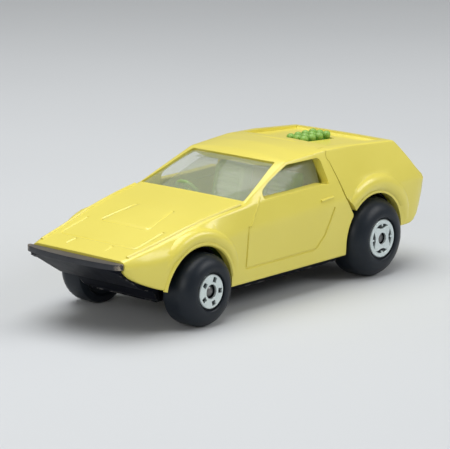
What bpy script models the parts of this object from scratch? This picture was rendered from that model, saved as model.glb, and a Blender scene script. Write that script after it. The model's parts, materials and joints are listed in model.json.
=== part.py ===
"""Die-cast toy wedge coupe, about 74 mm long, with an opening rear cowl and sprung axles.

The nose points along -Y, the left side of the car is +X, and the tyres stand on z = 0.
Every size in this file is in millimetres, and the helpers turn it into metres.
"""

import math

import bmesh
import bpy
import numpy as np
from mathutils import Matrix

MM = 0.001
GAP = 0.3

# Wheels and axles
FRONT_AXLE_Y = -19.0
REAR_AXLE_Y = 24.0
FRONT_TYRE_R = 5.9
REAR_TYRE_R = 6.8
FRONT_FOIL_R = 2.75
REAR_FOIL_R = 3.25
WHEEL_OUTER_X = 14.5
FRONT_TYRE_WIDTH = 5.6
REAR_TYRE_WIDTH = 6.4
FRONT_SHOULDER = 2.4
REAR_SHOULDER = 3.0
AXLE_R = 0.6
AXLE_BORE_R = 0.68
AXLE_HEAD_R = 0.95
TRAVEL = 0.5

# Body
BUMPER_FRONT_Y = -36.6
TAIL_Y = 37.8
NOSE_Y = -34.1
FRAME_SHIFT_Y = -(BUMPER_FRONT_Y + TAIL_Y) / 2  # every y here is measured before this shift
SCREEN_BASE_Y = -8.2
SCREEN_BASE_Z = 18.1
WALL = 1.1
FRONT_ARCH = (-19.4, 5.9, 7.15)  # y, z and radius of the opening over each front wheel
REAR_ARCH = (24.0, 6.9, 7.5)
FLOOR_LOW = 3.9
FLOOR_HIGH = 4.9

# Rivet posts: the heads sit in pockets in the base, above its flat underside
FRONT_POST_Y = -12.2
REAR_POST_Y = 14.9
RIVET_LOW = 4.05
RIVET_HIGH = 4.6
POCKET_HIGH = 4.9
BOSS_HIGH = 6.1

# Rear cowl hinge: the line that the cowl turns about
HINGE_Y = 13.75
HINGE_Z = 22.3
HINGE_PIN_R = 0.4
HINGE_BORE_R = 0.6
HINGE_HALF = 9.3  # half the length of the cowl's rolled front edge
ROLL_R = 1.5
ROOF_RELIEF_R = 1.68
EAR_R = 0.95
SEAM_LEAN = 0.325  # how far the seam runs back for each millimetre that it runs down
SEAM_TOP = (13.1, 23.2)
SEAM_GAP = 0.4

# Deck recess and the hole that the intake stacks stand in
RECESS_HALF = 9.3
RECESS_Y = (14.9, 29.9)
HOLE_HALF = 2.5
HOLE_Y = (17.6, 25.6)
STACK_SPACING = (1.5, 1.95)  # across the car, and along it
STACK_TOP = 23.9

# Feature lines of the body: (y, value) knots, from nose to tail
ROCKER_X = ((-34.1, 9.8), (-31.9, 10.6), (-29.1, 11.3), (-26.4, 11.9), (-20.0, 12.35), (-12.0, 12.5),
            (15.5, 12.5), (31.0, 12.4), (34.5, 12.4), (36.5, 12.4), (37.3, 12.3), (37.8, 11.9))
ROCKER_Z = ((-34.1, 11.15), (-33.2, 10.1), (-31.1, 8.8), (-29.1, 7.9), (-27.3, 7.2), (-14.0, 4.95),
            (18.0, 4.9), (31.0, 7.3), (34.5, 7.4), (35.4, 7.9), (36.5, 9.7), (37.3, 11.9), (37.8, 14.3))
BELT_X = ((-34.1, 10.1), (-31.9, 10.9), (-29.1, 11.6), (-26.4, 12.25), (-23.6, 12.6), (-19.0, 12.8),
          (-15.0, 13.05), (31.0, 13.05), (34.3, 13.0), (36.2, 12.9), (37.3, 12.7), (37.8, 12.3))
BELT_Z = ((-34.1, 11.65), (-29.1, 11.9), (-26.4, 12.4), (-24.7, 12.9), (-24.0, 13.9), (-22.9, 14.9),
          (-21.5, 15.4), (-19.5, 15.5), (-17.4, 15.2), (-15.8, 14.3), (-14.6, 13.4), (-8.5, 13.5),
          (3.8, 14.1), (15.4, 14.55), (18.0, 15.0), (19.5, 15.6), (21.3, 16.4), (23.5, 16.85),
          (26.2, 16.6), (28.4, 15.8), (30.0, 15.1), (36.0, 15.05), (37.8, 14.8))
SHOULDER_X = ((-34.1, 9.9), (-32.2, 10.3), (-21.0, 11.35), (-14.5, 11.9), (-8.5, 12.3), (14.0, 12.35),
              (31.0, 12.3), (36.2, 12.5), (37.3, 12.45), (37.8, 12.1))
SHOULDER_Z = ((-34.1, 12.5), (-32.2, 13.1), (-28.2, 13.9), (-24.5, 14.75), (-21.0, 15.75),
              (-17.5, 16.4), (-14.5, 16.9), (-8.5, 17.4), (-4.0, 17.75), (12.0, 18.0), (32.4, 17.8),
              (34.3, 17.4), (36.2, 16.0), (37.3, 15.5), (37.8, 15.15))
EDGE_X = ((-34.1, 9.2), (-21.0, 10.6), (-8.2, 11.6), (3.2, 10.4), (12.7, 10.85), (20.0, 11.0),
          (31.0, 10.9), (32.4, 11.25), (34.3, 11.8), (36.2, 12.25), (37.3, 12.25), (37.8, 12.0))
EDGE_Z = ((-34.1, 12.75), (-32.2, 13.25), (-28.2, 14.1), (-24.5, 15.0), (-21.0, 15.9), (-17.5, 16.6),
          (-14.5, 17.15), (-8.2, 18.05), (3.2, 22.7), (8.0, 23.0), (12.7, 23.3), (20.0, 23.1),
          (31.0, 22.25), (32.4, 20.9), (34.3, 18.8), (36.2, 16.6), (37.3, 15.75), (37.8, 15.3))
CENTRE_Z = ((-34.1, 12.8), (-32.2, 13.3), (-28.2, 14.25), (-24.5, 15.15), (-21.0, 16.0),
            (-17.5, 16.75), (-14.5, 17.25), (-8.2, 18.15), (0.6, 23.1), (3.2, 23.55), (8.0, 23.95),
            (12.7, 23.8), (20.0, 23.4), (31.0, 22.35), (32.4, 20.95), (34.3, 18.9), (36.2, 16.75),
            (37.3, 15.9), (37.8, 15.35))
STATIONS = (-34.1, -33.2, -31.9, -30.0, -28.2, -26.4, -24.7, -24.0, -22.9, -21.5, -19.5, -17.4, -15.8,
            -14.6, -11.5, -8.2, -4.0, 0.6, 3.2, 8.0, 12.7, 16.0, 18.0, 19.5, 21.3, 23.5, 26.2, 28.4, 30.0,
            31.0, 32.4, 34.3, 36.2, 37.3, 37.8)
CROWN_STEPS = 4

SIDE_WINDOW = ((-4.1, 17.9), (-3.9, 19.1), (-1.9, 20.2), (1.0, 21.35), (3.3, 22.2), (10.5, 22.3),
               (11.15, 21.9), (12.15, 17.75), (10.5, 18.1), (3.0, 17.9))

COLOURS = {
    "yellow": ((0.86, 0.74, 0.20, 1.0), 0.32, 0.0),
    "black": ((0.012, 0.014, 0.019, 1.0), 0.38, 0.0),
    "tyre": ((0.015, 0.017, 0.022, 1.0), 0.5, 0.0),
    "green": ((0.24, 0.52, 0.10, 1.0), 0.38, 0.0),
    "clear": ((0.80, 0.86, 0.83, 1.0), 0.08, 0.0),
    "foil": ((0.72, 0.76, 0.76, 1.0), 0.25, 1.0),
    "steel": ((0.45, 0.45, 0.46, 1.0), 0.3, 1.0),
}


def clear_scene():
    for item in list(bpy.data.objects):
        bpy.data.objects.remove(item, do_unlink=True)


def new_collection(name, hidden=False):
    made = bpy.data.collections.new(name)
    bpy.context.scene.collection.children.link(made)
    made.hide_render = hidden
    return made


def material(name):
    colour, roughness, metallic = COLOURS[name]
    made = bpy.data.materials.get(name)
    if made is None:
        made = bpy.data.materials.new(name)
        made.use_nodes = True
        shader = made.node_tree.nodes["Principled BSDF"]
        shader.inputs["Base Color"].default_value = colour
        shader.inputs["Roughness"].default_value = roughness
        shader.inputs["Metallic"].default_value = metallic
        made.diffuse_color = colour
    return made


def place(obj, collection):
    for old in list(obj.users_collection):
        old.objects.unlink(obj)
    collection.objects.link(obj)
    return obj


def mesh_object(name, mesh):
    obj = bpy.data.objects.new(name, mesh)
    bpy.context.scene.collection.objects.link(obj)
    return obj


def part(obj, colour, smooth=False):
    """Makes an object a visible part of the car."""
    obj.data.materials.clear()
    obj.data.materials.append(material(colour))
    if smooth:
        obj.data.shade_smooth()
        obj.data.set_sharp_from_angle(angle=math.radians(35))
    return place(obj, CAR)


def boolean(target, tool, operation):
    place(tool, TOOLS)
    tool.hide_render = True
    tool.display_type = "WIRE"
    step = target.modifiers.new(tool.name, "BOOLEAN")
    step.operation = operation
    step.solver = "EXACT"
    step.object = tool
    return target


def cut(target, *tools):
    for tool in tools:
        boolean(target, tool, "DIFFERENCE")
    return target


def join(target, *tools):
    for tool in tools:
        boolean(target, tool, "UNION")
    return target


def keep(target, tool):
    return boolean(target, tool, "INTERSECT")


def baked(obj, name):
    """The object's evaluated mesh as a new object, with the old one removed."""
    graph = bpy.context.evaluated_depsgraph_get()
    mesh = bpy.data.meshes.new_from_object(obj.evaluated_get(graph))
    mesh.name = name
    work = bmesh.new()
    work.from_mesh(mesh)
    bmesh.ops.remove_doubles(work, verts=work.verts, dist=1e-7)
    work.to_mesh(mesh)
    work.free()
    where = obj.matrix_world.copy()
    bpy.data.objects.remove(obj, do_unlink=True)
    made = mesh_object(name, mesh)
    made.matrix_world = where
    return made


def block(name, low, high):
    """A box between two corners."""
    work = bmesh.new()
    bmesh.ops.create_cube(work, size=1.0)
    size = [(b - a) * MM for a, b in zip(low, high)]
    middle = [(a + b) / 2 * MM for a, b in zip(low, high)]
    bmesh.ops.scale(work, vec=size, verts=work.verts)
    bmesh.ops.translate(work, vec=middle, verts=work.verts)
    mesh = bpy.data.meshes.new(name)
    work.to_mesh(mesh)
    work.free()
    return mesh_object(name, mesh)


def rod(name, centre, radius, low, high, axis="X", sides=24, top_radius=None):
    """A cylinder or a cone along an axis. centre holds the two other coordinates."""
    work = bmesh.new()
    bmesh.ops.create_cone(work, cap_ends=True, segments=sides, radius1=radius * MM,
                          radius2=(radius if top_radius is None else top_radius) * MM,
                          depth=(high - low) * MM)
    middle = (low + high) / 2
    if axis == "X":
        turn = Matrix.Rotation(math.radians(90), 4, "Y")
        shift = (middle, centre[0], centre[1])
    elif axis == "Y":
        turn = Matrix.Rotation(math.radians(-90), 4, "X")
        shift = (centre[0], middle, centre[1])
    else:
        turn = Matrix.Identity(4)
        shift = (centre[0], centre[1], middle)
    bmesh.ops.transform(work, matrix=turn, verts=work.verts)
    bmesh.ops.translate(work, vec=[v * MM for v in shift], verts=work.verts)
    mesh = bpy.data.meshes.new(name)
    work.to_mesh(mesh)
    work.free()
    return mesh_object(name, mesh)


def prism(name, outline, low, high, axis="X"):
    """A flat outline given thickness. Along X the outline is (y, z), along Z it is (x, y)."""
    curve = bpy.data.curves.new(name, "CURVE")
    curve.dimensions = "2D"
    curve.fill_mode = "BOTH"
    curve.extrude = (high - low) / 2 * MM
    line = curve.splines.new("POLY")
    line.points.add(len(outline) - 1)
    for point, (u, v) in zip(line.points, outline):
        point.co = (u * MM, v * MM, 0.0, 1.0)
    line.use_cyclic_u = True
    obj = bpy.data.objects.new(name, curve)
    bpy.context.scene.collection.objects.link(obj)
    bpy.context.view_layer.update()
    made = baked(obj, name)
    middle = (low + high) / 2 * MM
    if axis == "X":
        turn = Matrix(((0, 0, 1, middle), (1, 0, 0, 0), (0, 1, 0, 0), (0, 0, 0, 1)))
    else:
        turn = Matrix.Translation((0, 0, middle))
    made.data.transform(turn)
    made.matrix_world = Matrix.Identity(4)
    return made


def arc(centre, radius, start, end, steps):
    """Points on an arc, with its angles in degrees."""
    turns = np.radians(np.linspace(start, end, steps))
    return [(centre[0] + radius * math.cos(a), centre[1] + radius * math.sin(a)) for a in turns]


def turned(name, profile, centre, sides, outward=1):
    """A ring or disc turned about the X axis. profile holds (x, radius), closed, and centre is (y, z)."""
    work = bmesh.new()
    ring = [work.verts.new((outward * x * MM, 0.0, radius * MM)) for x, radius in profile]
    for a, b in zip(ring, ring[1:] + ring[:1]):
        work.edges.new((a, b))
    bmesh.ops.spin(work, geom=work.verts[:] + work.edges[:], cent=(0, 0, 0), axis=(1, 0, 0),
                   angle=2 * math.pi, steps=sides, use_duplicate=False)
    bmesh.ops.remove_doubles(work, verts=work.verts, dist=1e-7)
    bmesh.ops.recalc_face_normals(work, faces=work.faces)
    mesh = bpy.data.meshes.new(name)
    work.to_mesh(mesh)
    work.free()
    obj = mesh_object(name, mesh)
    obj.location = (0.0, centre[0] * MM, centre[1] * MM)
    return obj


def at(table, y):
    """The value of a feature line at y."""
    places, values = zip(*table)
    return float(np.interp(y, places, values))


def half_section(y, inset, top_inset, open_below):
    """Points (x, z) round the left half of the body at y, from the bottom middle to the top middle."""
    low = -4.0 if open_below else at(ROCKER_Z, y)
    edge = (at(EDGE_X, y) - inset, at(EDGE_Z, y) - top_inset)
    crown = at(CENTRE_Z, y) - top_inset - edge[1]
    points = [(0.0, low), (at(ROCKER_X, y) - inset, low),
              (at(BELT_X, y) - inset, at(BELT_Z, y)),
              (at(SHOULDER_X, y) - inset, at(SHOULDER_Z, y) - 0.6 * top_inset), edge]
    for step in range(CROWN_STEPS - 1, -1, -1):
        share = step / CROWN_STEPS
        points.append((edge[0] * share, edge[1] + crown * (1 - share * share)))
    return points


def body_form(name, first, last, inset=0.0, top_inset=0.0, open_below=False):
    """The body's outer form, or one set in from it, lofted through its sections from first to last."""
    places = [first] + [y for y in STATIONS if first + 0.2 < y < last - 0.2] + [last]
    work = bmesh.new()
    rings = []
    for y in places:
        left = half_section(y, inset, top_inset, open_below)
        right = [(-x, z) for x, z in reversed(left[1:-1])]
        rings.append([work.verts.new((x * MM, y * MM, z * MM)) for x, z in left + right])
    for near, far in zip(rings, rings[1:]):
        for i in range(len(near)):
            j = (i + 1) % len(near)
            work.faces.new((near[i], near[j], far[j], far[i]))
    work.faces.new(rings[0][::-1])
    work.faces.new(rings[-1])
    bmesh.ops.recalc_face_normals(work, faces=work.faces)
    bmesh.ops.triangulate(work, faces=work.faces)
    mesh = bpy.data.meshes.new(name)
    work.to_mesh(mesh)
    work.free()
    return mesh_object(name, mesh)


def seam_y(z):
    """The body's rear edge on the flank at height z."""
    return SEAM_TOP[0] + (SEAM_TOP[1] - z) * SEAM_LEAN


def arch_cutter(name, arch):
    """A cylinder through both flanks, open below the axle."""
    y, z, radius = arch
    outline = arc((y, z), radius, 0, 180, 24) + [(y - radius, -6.0), (y + radius, -6.0)]
    return prism(name, outline, -20.0, 20.0)


def windscreen_cutter():
    """The windscreen's opening, square to the sloping glass."""
    slope = math.atan2(4.7, 10.5)
    top = [(9.0, 11.4), (6.0, 10.9), (3.0, 10.3), (0.0, 10.1), (-3.0, 10.3), (-6.0, 10.9), (-9.0, 11.4)]
    outline = [(-11.3, 0.15), (11.3, 0.15)] + top
    cutter = prism("windscreen_opening", outline, -3.6, 4.0, "Z")
    cutter.data.transform(Matrix.Translation((0, SCREEN_BASE_Y * MM, SCREEN_BASE_Z * MM))
                          @ Matrix.Rotation(slope, 4, "X"))
    return cutter


def door_grooves(side):
    """The engraved shut lines of one door, as thin blades that bite into the skin."""
    depth = 12.55
    low, high = (depth, 14.0) if side > 0 else (-14.0, -depth)
    wide = 0.28
    front = [(-9.0, 7.4), (-9.0 + wide, 7.4), (-8.7 + wide, 13.6), (-8.7, 13.6)]
    sill = [(-9.0, 7.4), (8.5, 7.5), (8.5, 7.5 + wide), (-9.0, 7.4 + wide)]
    rear = [(8.3, 7.5), (8.3 + wide, 7.5), (12.9 + wide, 13.9), (12.9, 13.9)]
    label = "left" if side > 0 else "right"
    made = prism("door_groove_" + label, front, low, high)
    return [made, prism("door_sill_groove_" + label, sill, low, high),
            prism("door_rear_groove_" + label, rear, low, high)]


def body_shell():
    """Bonnet, roof, pillars, doors and sills in one casting, with its bulkhead, posts and hinge ears."""
    body = body_form("body_shell", NOSE_Y, 20.0)
    cut(body, body_form("body_hollow", NOSE_Y + 1.2, 21.0, WALL, WALL, True))
    bulkhead = prism("bulkhead", [(11.5, 22.9), (12.6, 22.9), (15.2, 15.0), (15.6, 7.0), (14.5, 7.0),
                                  (14.1, 15.0)], -11.6, 11.6)
    inner = body_form("bulkhead_trim", 9.0, 19.0, 0.5, 0.5)
    bulkhead = keep(bulkhead, inner)
    join(body, baked(bulkhead, "bulkhead_wall"))
    behind = [(seam_y(30), 30), (seam_y(15), 15.0), (18.0, 11.8), (18.0, -6.0), (60, -6), (60, 30)]
    cut(body, prism("behind_seam", behind, -20, 20))
    cut(body, arch_cutter("front_arch", FRONT_ARCH), arch_cutter("rear_arch_front", REAR_ARCH))
    cut(body, block("nose_notch", (-9.15, -35.3, 0.0), (9.15, -32.6, 11.7)))
    cut(body, windscreen_cutter(), prism("side_windows", SIDE_WINDOW, -20, 20))
    cut(body, rod("roof_relief", (HINGE_Y, HINGE_Z), ROOF_RELIEF_R, -HINGE_HALF - 0.15,
                  HINGE_HALF + 0.15, "X", 32))
    for side, label in ((1, "left"), (-1, "right")):
        low, high = sorted((side * 9.75, side * 12.0))
        ear = rod("hinge_ear_" + label, (HINGE_Y, HINGE_Z), EAR_R, low, high, "X", 24)
        web = block("ear_web_" + label, (low, 11.6, HINGE_Z - 0.8), (high, HINGE_Y, HINGE_Z + 0.6))
        ear = keep(join(ear, web), body_form("ear_trim_" + label, 9.0, 20.0, 0.02, 0.02))
        join(body, baked(ear, "ear_" + label))
        cut(body, *door_grooves(side))
        grip = [(9.4, 15.3), (12.6, 15.5), (12.6, 15.8), (9.4, 15.6)]
        reach = sorted((side * 12.0, side * 13.2))
        join(body, prism("door_handle_" + label, grip, reach[0], reach[1]))
    cut(body, rod("pin_hole", (HINGE_Y, HINGE_Z), HINGE_BORE_R, -10.4, 10.4, "X", 20))
    for side, label in ((1, "left"), (-1, "right")):
        low, high = sorted((side * 2.7, side * 3.9))
        join(body, block("spring_seat_" + label, (low, FRONT_AXLE_Y - 0.9, 8.55), (high, FRONT_AXLE_Y + 0.9, 16.0)))
    join(body, rod("front_post", (0.0, FRONT_POST_Y), 1.4, 4.2, 17.0, "Z", 20),
         rod("front_rivet_head", (0.0, FRONT_POST_Y), 2.1, RIVET_LOW, RIVET_HIGH, "Z", 20),
         rod("rear_post", (0.0, REAR_POST_Y), 1.2, 4.2, 8.0, "Z", 20),
         rod("rear_rivet_head", (0.0, REAR_POST_Y), 1.9, RIVET_LOW, RIVET_HIGH, "Z", 20))
    return part(body, "yellow")


def cowl_front(name, radius, low, high):
    """Everything ahead of the cowl's front edge, which is rolled round the hinge line at its top."""
    lean = math.degrees(math.atan2(-1.0, SEAM_LEAN)) + 360.0
    outline = [(HINGE_Y, 40.0)] + arc((HINGE_Y, HINGE_Z), radius, 90.0, lean, 18)
    outline += [(seam_y(15.0) + SEAM_GAP, 15.0), (19.1, 12.0), (19.1, -9.0), (-20.0, -9.0), (-20.0, 40.0)]
    return prism(name, outline, low, high)


def rear_cowl():
    """The opening rear cowl: flying side rails, recessed deck, rear arches and tail in one casting."""
    cowl = body_form("rear_cowl", 11.0, TAIL_Y)
    cut(cowl, body_form("cowl_hollow", 9.0, TAIL_Y - 2.2, WALL, 1.75, True))
    recess = prism("deck_recess", [(RECESS_Y[0], 30), (RECESS_Y[0] + 0.5, 22.95), (RECESS_Y[1] - 0.4, 22.0),
                                   (RECESS_Y[1], 30)], -RECESS_HALF, RECESS_HALF)
    cut(cowl, recess, block("engine_hole", (-HOLE_HALF, HOLE_Y[0], 18.0), (HOLE_HALF, HOLE_Y[1], 30.0)))
    join(cowl, rod("hinge_roll", (HINGE_Y, HINGE_Z), 1.0, -HINGE_HALF + 0.2, HINGE_HALF - 0.2, "X", 24))
    cut(cowl, cowl_front("ahead_middle", ROLL_R, -HINGE_HALF + 0.1, HINGE_HALF - 0.1))
    for side, label in ((1, "left"), (-1, "right")):
        low, high = sorted((side * (HINGE_HALF - 0.15), side * 20.0))
        cut(cowl, cowl_front("ahead_" + label, 0.3, low, high))
        cut(cowl, rod("ear_relief_" + label, (HINGE_Y, HINGE_Z), EAR_R + 0.35, low, high, "X", 24))
    cut(cowl, arch_cutter("rear_arch", REAR_ARCH))
    cut(cowl, rod("roll_bore", (HINGE_Y, HINGE_Z), HINGE_BORE_R, -14.0, 14.0, "X", 20))
    return part(cowl, "yellow")


def hinge_pin():
    pin = rod("cowl_hinge_pin", (HINGE_Y, HINGE_Z), HINGE_PIN_R, -10.15, 10.15, "X", 16)
    return part(pin, "steel", smooth=True)


def mirrored(half):
    """A whole outline (x, y) from its +X half, which starts and ends anywhere."""
    return half + [(-x, y) for x, y in reversed(half) if x > 0.01]


def bumper():
    """The full-width blade along the nose."""
    half = [(0.0, BUMPER_FRONT_Y), (4.0, -36.45), (7.3, -36.1), (9.2, -35.7), (10.0, -35.35), (10.35, -34.85),
            (10.25, NOSE_Y - GAP)]
    return prism("bumper", mirrored(half), 11.25, 12.55, "Z")


def chin():
    """The sloping underside of the nose, from behind the bumper down to the floor."""
    profile = [(-35.5, 12.05), (-35.2, 11.3), (-29.0, 7.1), (-26.2, 6.3), (-24.9, 4.6), (-23.8, 3.95),
               (-22.5, 3.95), (-22.5, 4.85), (-23.9, 5.2), (-25.3, 7.3), (-28.6, 8.5), (-32.3, 11.3),
               (-34.45, 11.35), (-34.45, 12.05)]
    half = [(8.7, -40.0), (8.7, -34.0), (8.9, -29.0), (8.5, -26.2), (7.9, -24.3), (7.25, -23.4), (7.25, -20.0)]
    plan = prism("chin_plan", mirrored(half), 0.0, 20.0, "Z")
    return baked(keep(prism("chin", profile, -12.0, 12.0), plan), "chin")


def axle_cradle(name, y, axle_z, floor_top):
    """Two slotted posts that the axle slides up and down in."""
    made = []
    for side, label in ((1, "left"), (-1, "right")):
        low, high = sorted((side * 4.0, side * 5.6))
        slot = AXLE_R + 0.25
        post = block(f"{name}_post_{label}", (low, y - 2.0, floor_top - 0.5), (high, y + 2.0, axle_z + 1.6))
        notch = block(f"{name}_slot_{label}", (low - 1, y - slot, axle_z - slot), (high + 1, y + slot, 20.0))
        made.append(baked(cut(post, notch), f"{name}_{label}"))
    return made


def base_plate():
    """The black base casting: floor, chin and bumper, with slotted cradles for both axles."""
    half = [(7.1, -24.0), (7.2, -12.3), (10.9, -11.9), (10.9, 15.9), (6.6, 16.3), (6.5, 31.0)]
    base = prism("base_plate", mirrored(half), FLOOR_LOW, FLOOR_HIGH, "Z")
    valance = prism("valance", [(29.5, 4.85), (29.5, 3.95), (31.4, 3.95), (34.6, 7.2), (34.9, 8.2), (34.0, 8.2),
                                (31.0, 4.85)], -6.4, 6.4)
    join(base, chin(), bumper(), valance)
    join(base, *axle_cradle("front_cradle", FRONT_AXLE_Y, FRONT_TYRE_R, FLOOR_HIGH))
    join(base, *axle_cradle("rear_cradle", REAR_AXLE_Y, REAR_TYRE_R, FLOOR_HIGH))
    for label, y, boss_r, pocket_r, hole_r in (("front", FRONT_POST_Y, 3.3, 2.4, 1.7),
                                               ("rear", REAR_POST_Y, 2.8, 2.2, 1.5)):
        join(base, rod(label + "_boss", (0.0, y), boss_r, 4.4, BOSS_HIGH, "Z", 24))
        cut(base, rod(label + "_rivet_pocket", (0.0, y), pocket_r, 0.0, POCKET_HIGH, "Z", 20),
            rod(label + "_post_hole", (0.0, y), hole_r, 0.0, 9.0, "Z", 20))
    return part(base, "black")


def window_glazing():
    """Windscreen, side windows and the web that joins them under the roof: one clear moulding."""
    outer, inner = 1.4, 2.1
    glass = body_form("window_glazing", -9.3, 11.0, outer, outer)
    cut(glass, body_form("glazing_hollow", -9.0, 10.0, inner, inner, True))
    cut(glass, block("glazing_tail", (-20, 9.6, 0), (20, 20, 30)))
    keep_above = [(-10.4, 15.9), (-3.0, 16.5), (12.0, 16.6), (12.0, 30), (-10.4, 30)]
    return part(keep(glass, prism("glazing_band", keep_above, -20, 20)), "clear")


def seat(label, side):
    """A bucket seat, its back ribbed across."""
    x = side * 5.5
    low, high = x - 3.2, x + 3.2
    shape = prism("seat_" + label, [(0.5, 7.0), (0.9, 10.4), (5.6, 9.7), (8.2, 19.3), (9.4, 19.6), (10.0, 19.0),
                                    (7.6, 7.0)], low, high)
    for number in range(5):
        z = 11.6 + 1.6 * number
        y = 5.6 + (z - 9.7) * 2.6 / 9.6
        join(shape, rod(f"seat_rib_{label}_{number}", (y, z), 0.45, low + 0.4, high - 0.4, "X", 10))
    return baked(shape, "seat_form_" + label)


def steering_wheel():
    """The rim on its column, on the right-hand side of the dash."""
    bpy.ops.mesh.primitive_torus_add(major_segments=20, minor_segments=8, major_radius=2.3 * MM,
                                     minor_radius=0.35 * MM)
    rim = bpy.context.object
    rim.name = "steering_rim"
    spoke = block("steering_spoke", (-2.2, -0.35, -0.25), (2.2, 0.35, 0.25))
    column = rod("steering_column", (0.0, 0.0), 0.5, -4.2, 0.1, "Z", 9)
    wheel = baked(join(rim, spoke, column), "steering_wheel")
    wheel.data.transform(Matrix.Translation((-5.4 * MM, -2.5 * MM, 15.3 * MM))
                         @ Matrix.Rotation(math.radians(-58), 4, "X"))
    return wheel


def interior():
    """Tub, seats, dash and steering wheel in one moulding."""
    tub = block("interior", (-9.6, -8.4, 5.6), (9.6, 11.4, 7.2))
    dash = prism("dash", [(-8.3, 6.8), (-8.3, 14.9), (-7.2, 15.3), (-5.2, 14.4), (-5.6, 11.5), (-6.6, 6.8)],
                 -9.3, 9.3)
    join(tub, dash, steering_wheel())
    join(tub, block("tunnel", (-1.4, -7.5, 6.8), (1.4, 9.0, 9.0)))
    join(tub, seat("left", 1), seat("right", -1))
    return part(tub, "green")


def engine():
    """Engine block with its intake stacks standing up through the deck."""
    block_low = 9.4
    motor = block("engine", (-5.2, 16.6, block_low), (5.2, 28.5, 14.5))
    join(motor, block("engine_front_foot", (-4.6, 18.0, 5.2), (4.6, 19.6, 10.0)))
    join(motor, block("engine_rear_foot", (-4.6, 27.4, 5.2), (4.6, 29.2, 10.0)))
    join(motor, block("manifold", (-2.15, HOLE_Y[0] + 0.35, 14.0), (2.15, HOLE_Y[1] - 0.45, 22.1)))
    for row in range(4):
        for column in (-1, 0, 1):
            x, y = column * STACK_SPACING[0], HOLE_Y[0] + 1.0 + row * STACK_SPACING[1]
            stack = rod(f"stack_{row}_{column}", (x, y), 0.42, 21.5, 23.3, "Z", 7)
            ball = bmesh.new()
            bmesh.ops.create_uvsphere(ball, u_segments=8, v_segments=5, radius=0.7 * MM)
            bmesh.ops.translate(ball, vec=(x * MM, y * MM, (STACK_TOP - 0.7) * MM), verts=ball.verts)
            mesh = bpy.data.meshes.new(f"stack_cap_{row}_{column}")
            ball.to_mesh(mesh)
            ball.free()
            join(motor, stack, mesh_object(mesh.name, mesh))
    return part(motor, "green")


def axle(name, y, z):
    """Steel wire with a formed head at each end, inside the wheels' hubs."""
    head = WHEEL_OUTER_X - 0.75
    profile = [(-head - 0.6, 0.0), (-head - 0.6, AXLE_HEAD_R), (-head, AXLE_HEAD_R), (-head, AXLE_R),
               (head, AXLE_R), (head, AXLE_HEAD_R), (head + 0.6, AXLE_HEAD_R), (head + 0.6, 0.0)]
    return part(turned(name, profile, (y, z), 14), "steel", smooth=True)


def wheel(name, y, radius, width, round_r, foil_radius, side):
    """Tyre and hub in one: round shoulder outside, recess for the foil, and a bore with a pocket for the head."""
    outer = WHEEL_OUTER_X
    inner = outer - width
    dish = outer - 0.55
    pocket = outer - 0.95
    shoulder = [(outer - round_r + round_r * math.sin(a), radius - round_r + round_r * math.cos(a))
                for a in np.radians((0, 22, 45, 68, 90))]
    profile = [(inner, AXLE_BORE_R), (inner, radius - 0.7), (inner + 0.2, radius - 0.2), (inner + 0.7, radius)]
    profile += shoulder + [(outer, foil_radius + 0.45), (dish, foil_radius + 0.3),
                           (dish, AXLE_HEAD_R + 0.3), (pocket, AXLE_HEAD_R + 0.3), (pocket, AXLE_BORE_R)]
    return part(turned(name, profile, (y, radius), 28, side), "tyre", smooth=True)


def foil(name, y, radius, foil_radius, side, windows):
    """The bright face of the wheel: a thin ring with a window cut at each of a few angles."""
    low = WHEEL_OUTER_X - 0.53
    high = WHEEL_OUTER_X - 0.15
    profile = [(low, AXLE_HEAD_R + 0.35), (low, foil_radius), (high, foil_radius), (high, AXLE_HEAD_R + 0.35)]
    disc = turned(name, profile, (y, radius), 28, side)
    middle = (AXLE_HEAD_R + 0.35 + foil_radius) / 2
    for number in range(windows):
        angle = 2 * math.pi * (number + 0.25) / windows
        at_y = y + middle * math.cos(angle)
        at_z = radius + middle * math.sin(angle)
        reach = sorted((side * (low - 1.0), side * (high + 1.0)))
        cut(disc, rod(f"{name}_window_{number}", (at_y, at_z), 0.42, reach[0], reach[1], "X", 4))
    return part(disc, "foil")


def suspension_strip(name, y, axle_z, top):
    """A bowed spring strip over an axle, its ends up under the body and its middle on the axle."""
    bottom = axle_z + AXLE_R + 0.06
    thickness = 0.3
    reach = 3.3
    steps = np.linspace(-1.0, 1.0, 13)
    lower = [(reach * s, bottom + (top - thickness - bottom) * s * s) for s in steps]
    upper = [(x, z + thickness) for x, z in reversed(lower)]
    strip = prism(name, lower + upper, -1.0, 1.0, "Z")
    strip.data.transform(Matrix(((1, 0, 0, 0), (0, 0, -1, y * MM), (0, 1, 0, 0), (0, 0, 0, 1))))
    return part(strip, "steel")


def running_gear():
    for end, y, radius in (("front", FRONT_AXLE_Y, FRONT_TYRE_R), ("rear", REAR_AXLE_Y, REAR_TYRE_R)):
        width = FRONT_TYRE_WIDTH if end == "front" else REAR_TYRE_WIDTH
        round_r = FRONT_SHOULDER if end == "front" else REAR_SHOULDER
        foil_radius = FRONT_FOIL_R if end == "front" else REAR_FOIL_R
        axle(end + "_axle", y, radius)
        suspension_strip(end + "_suspension_strip", y, radius, radius + AXLE_R + 1.9)
        for side, label in ((1, "left"), (-1, "right")):
            wheel(f"{end}_{label}_wheel", y, radius, width, round_r, foil_radius, side)
            foil(f"{end}_{label}_hub_foil", y, radius, foil_radius, side, 5 if end == "front" else 4)


clear_scene()
CAR = new_collection("toy_wedge_coupe")
TOOLS = new_collection("cutters", hidden=True)
body_shell()
rear_cowl()
hinge_pin()
base_plate()
window_glazing()
interior()
engine()
running_gear()
for obj in bpy.data.objects:
    obj.location.y += FRAME_SHIFT_Y * MM
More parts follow.
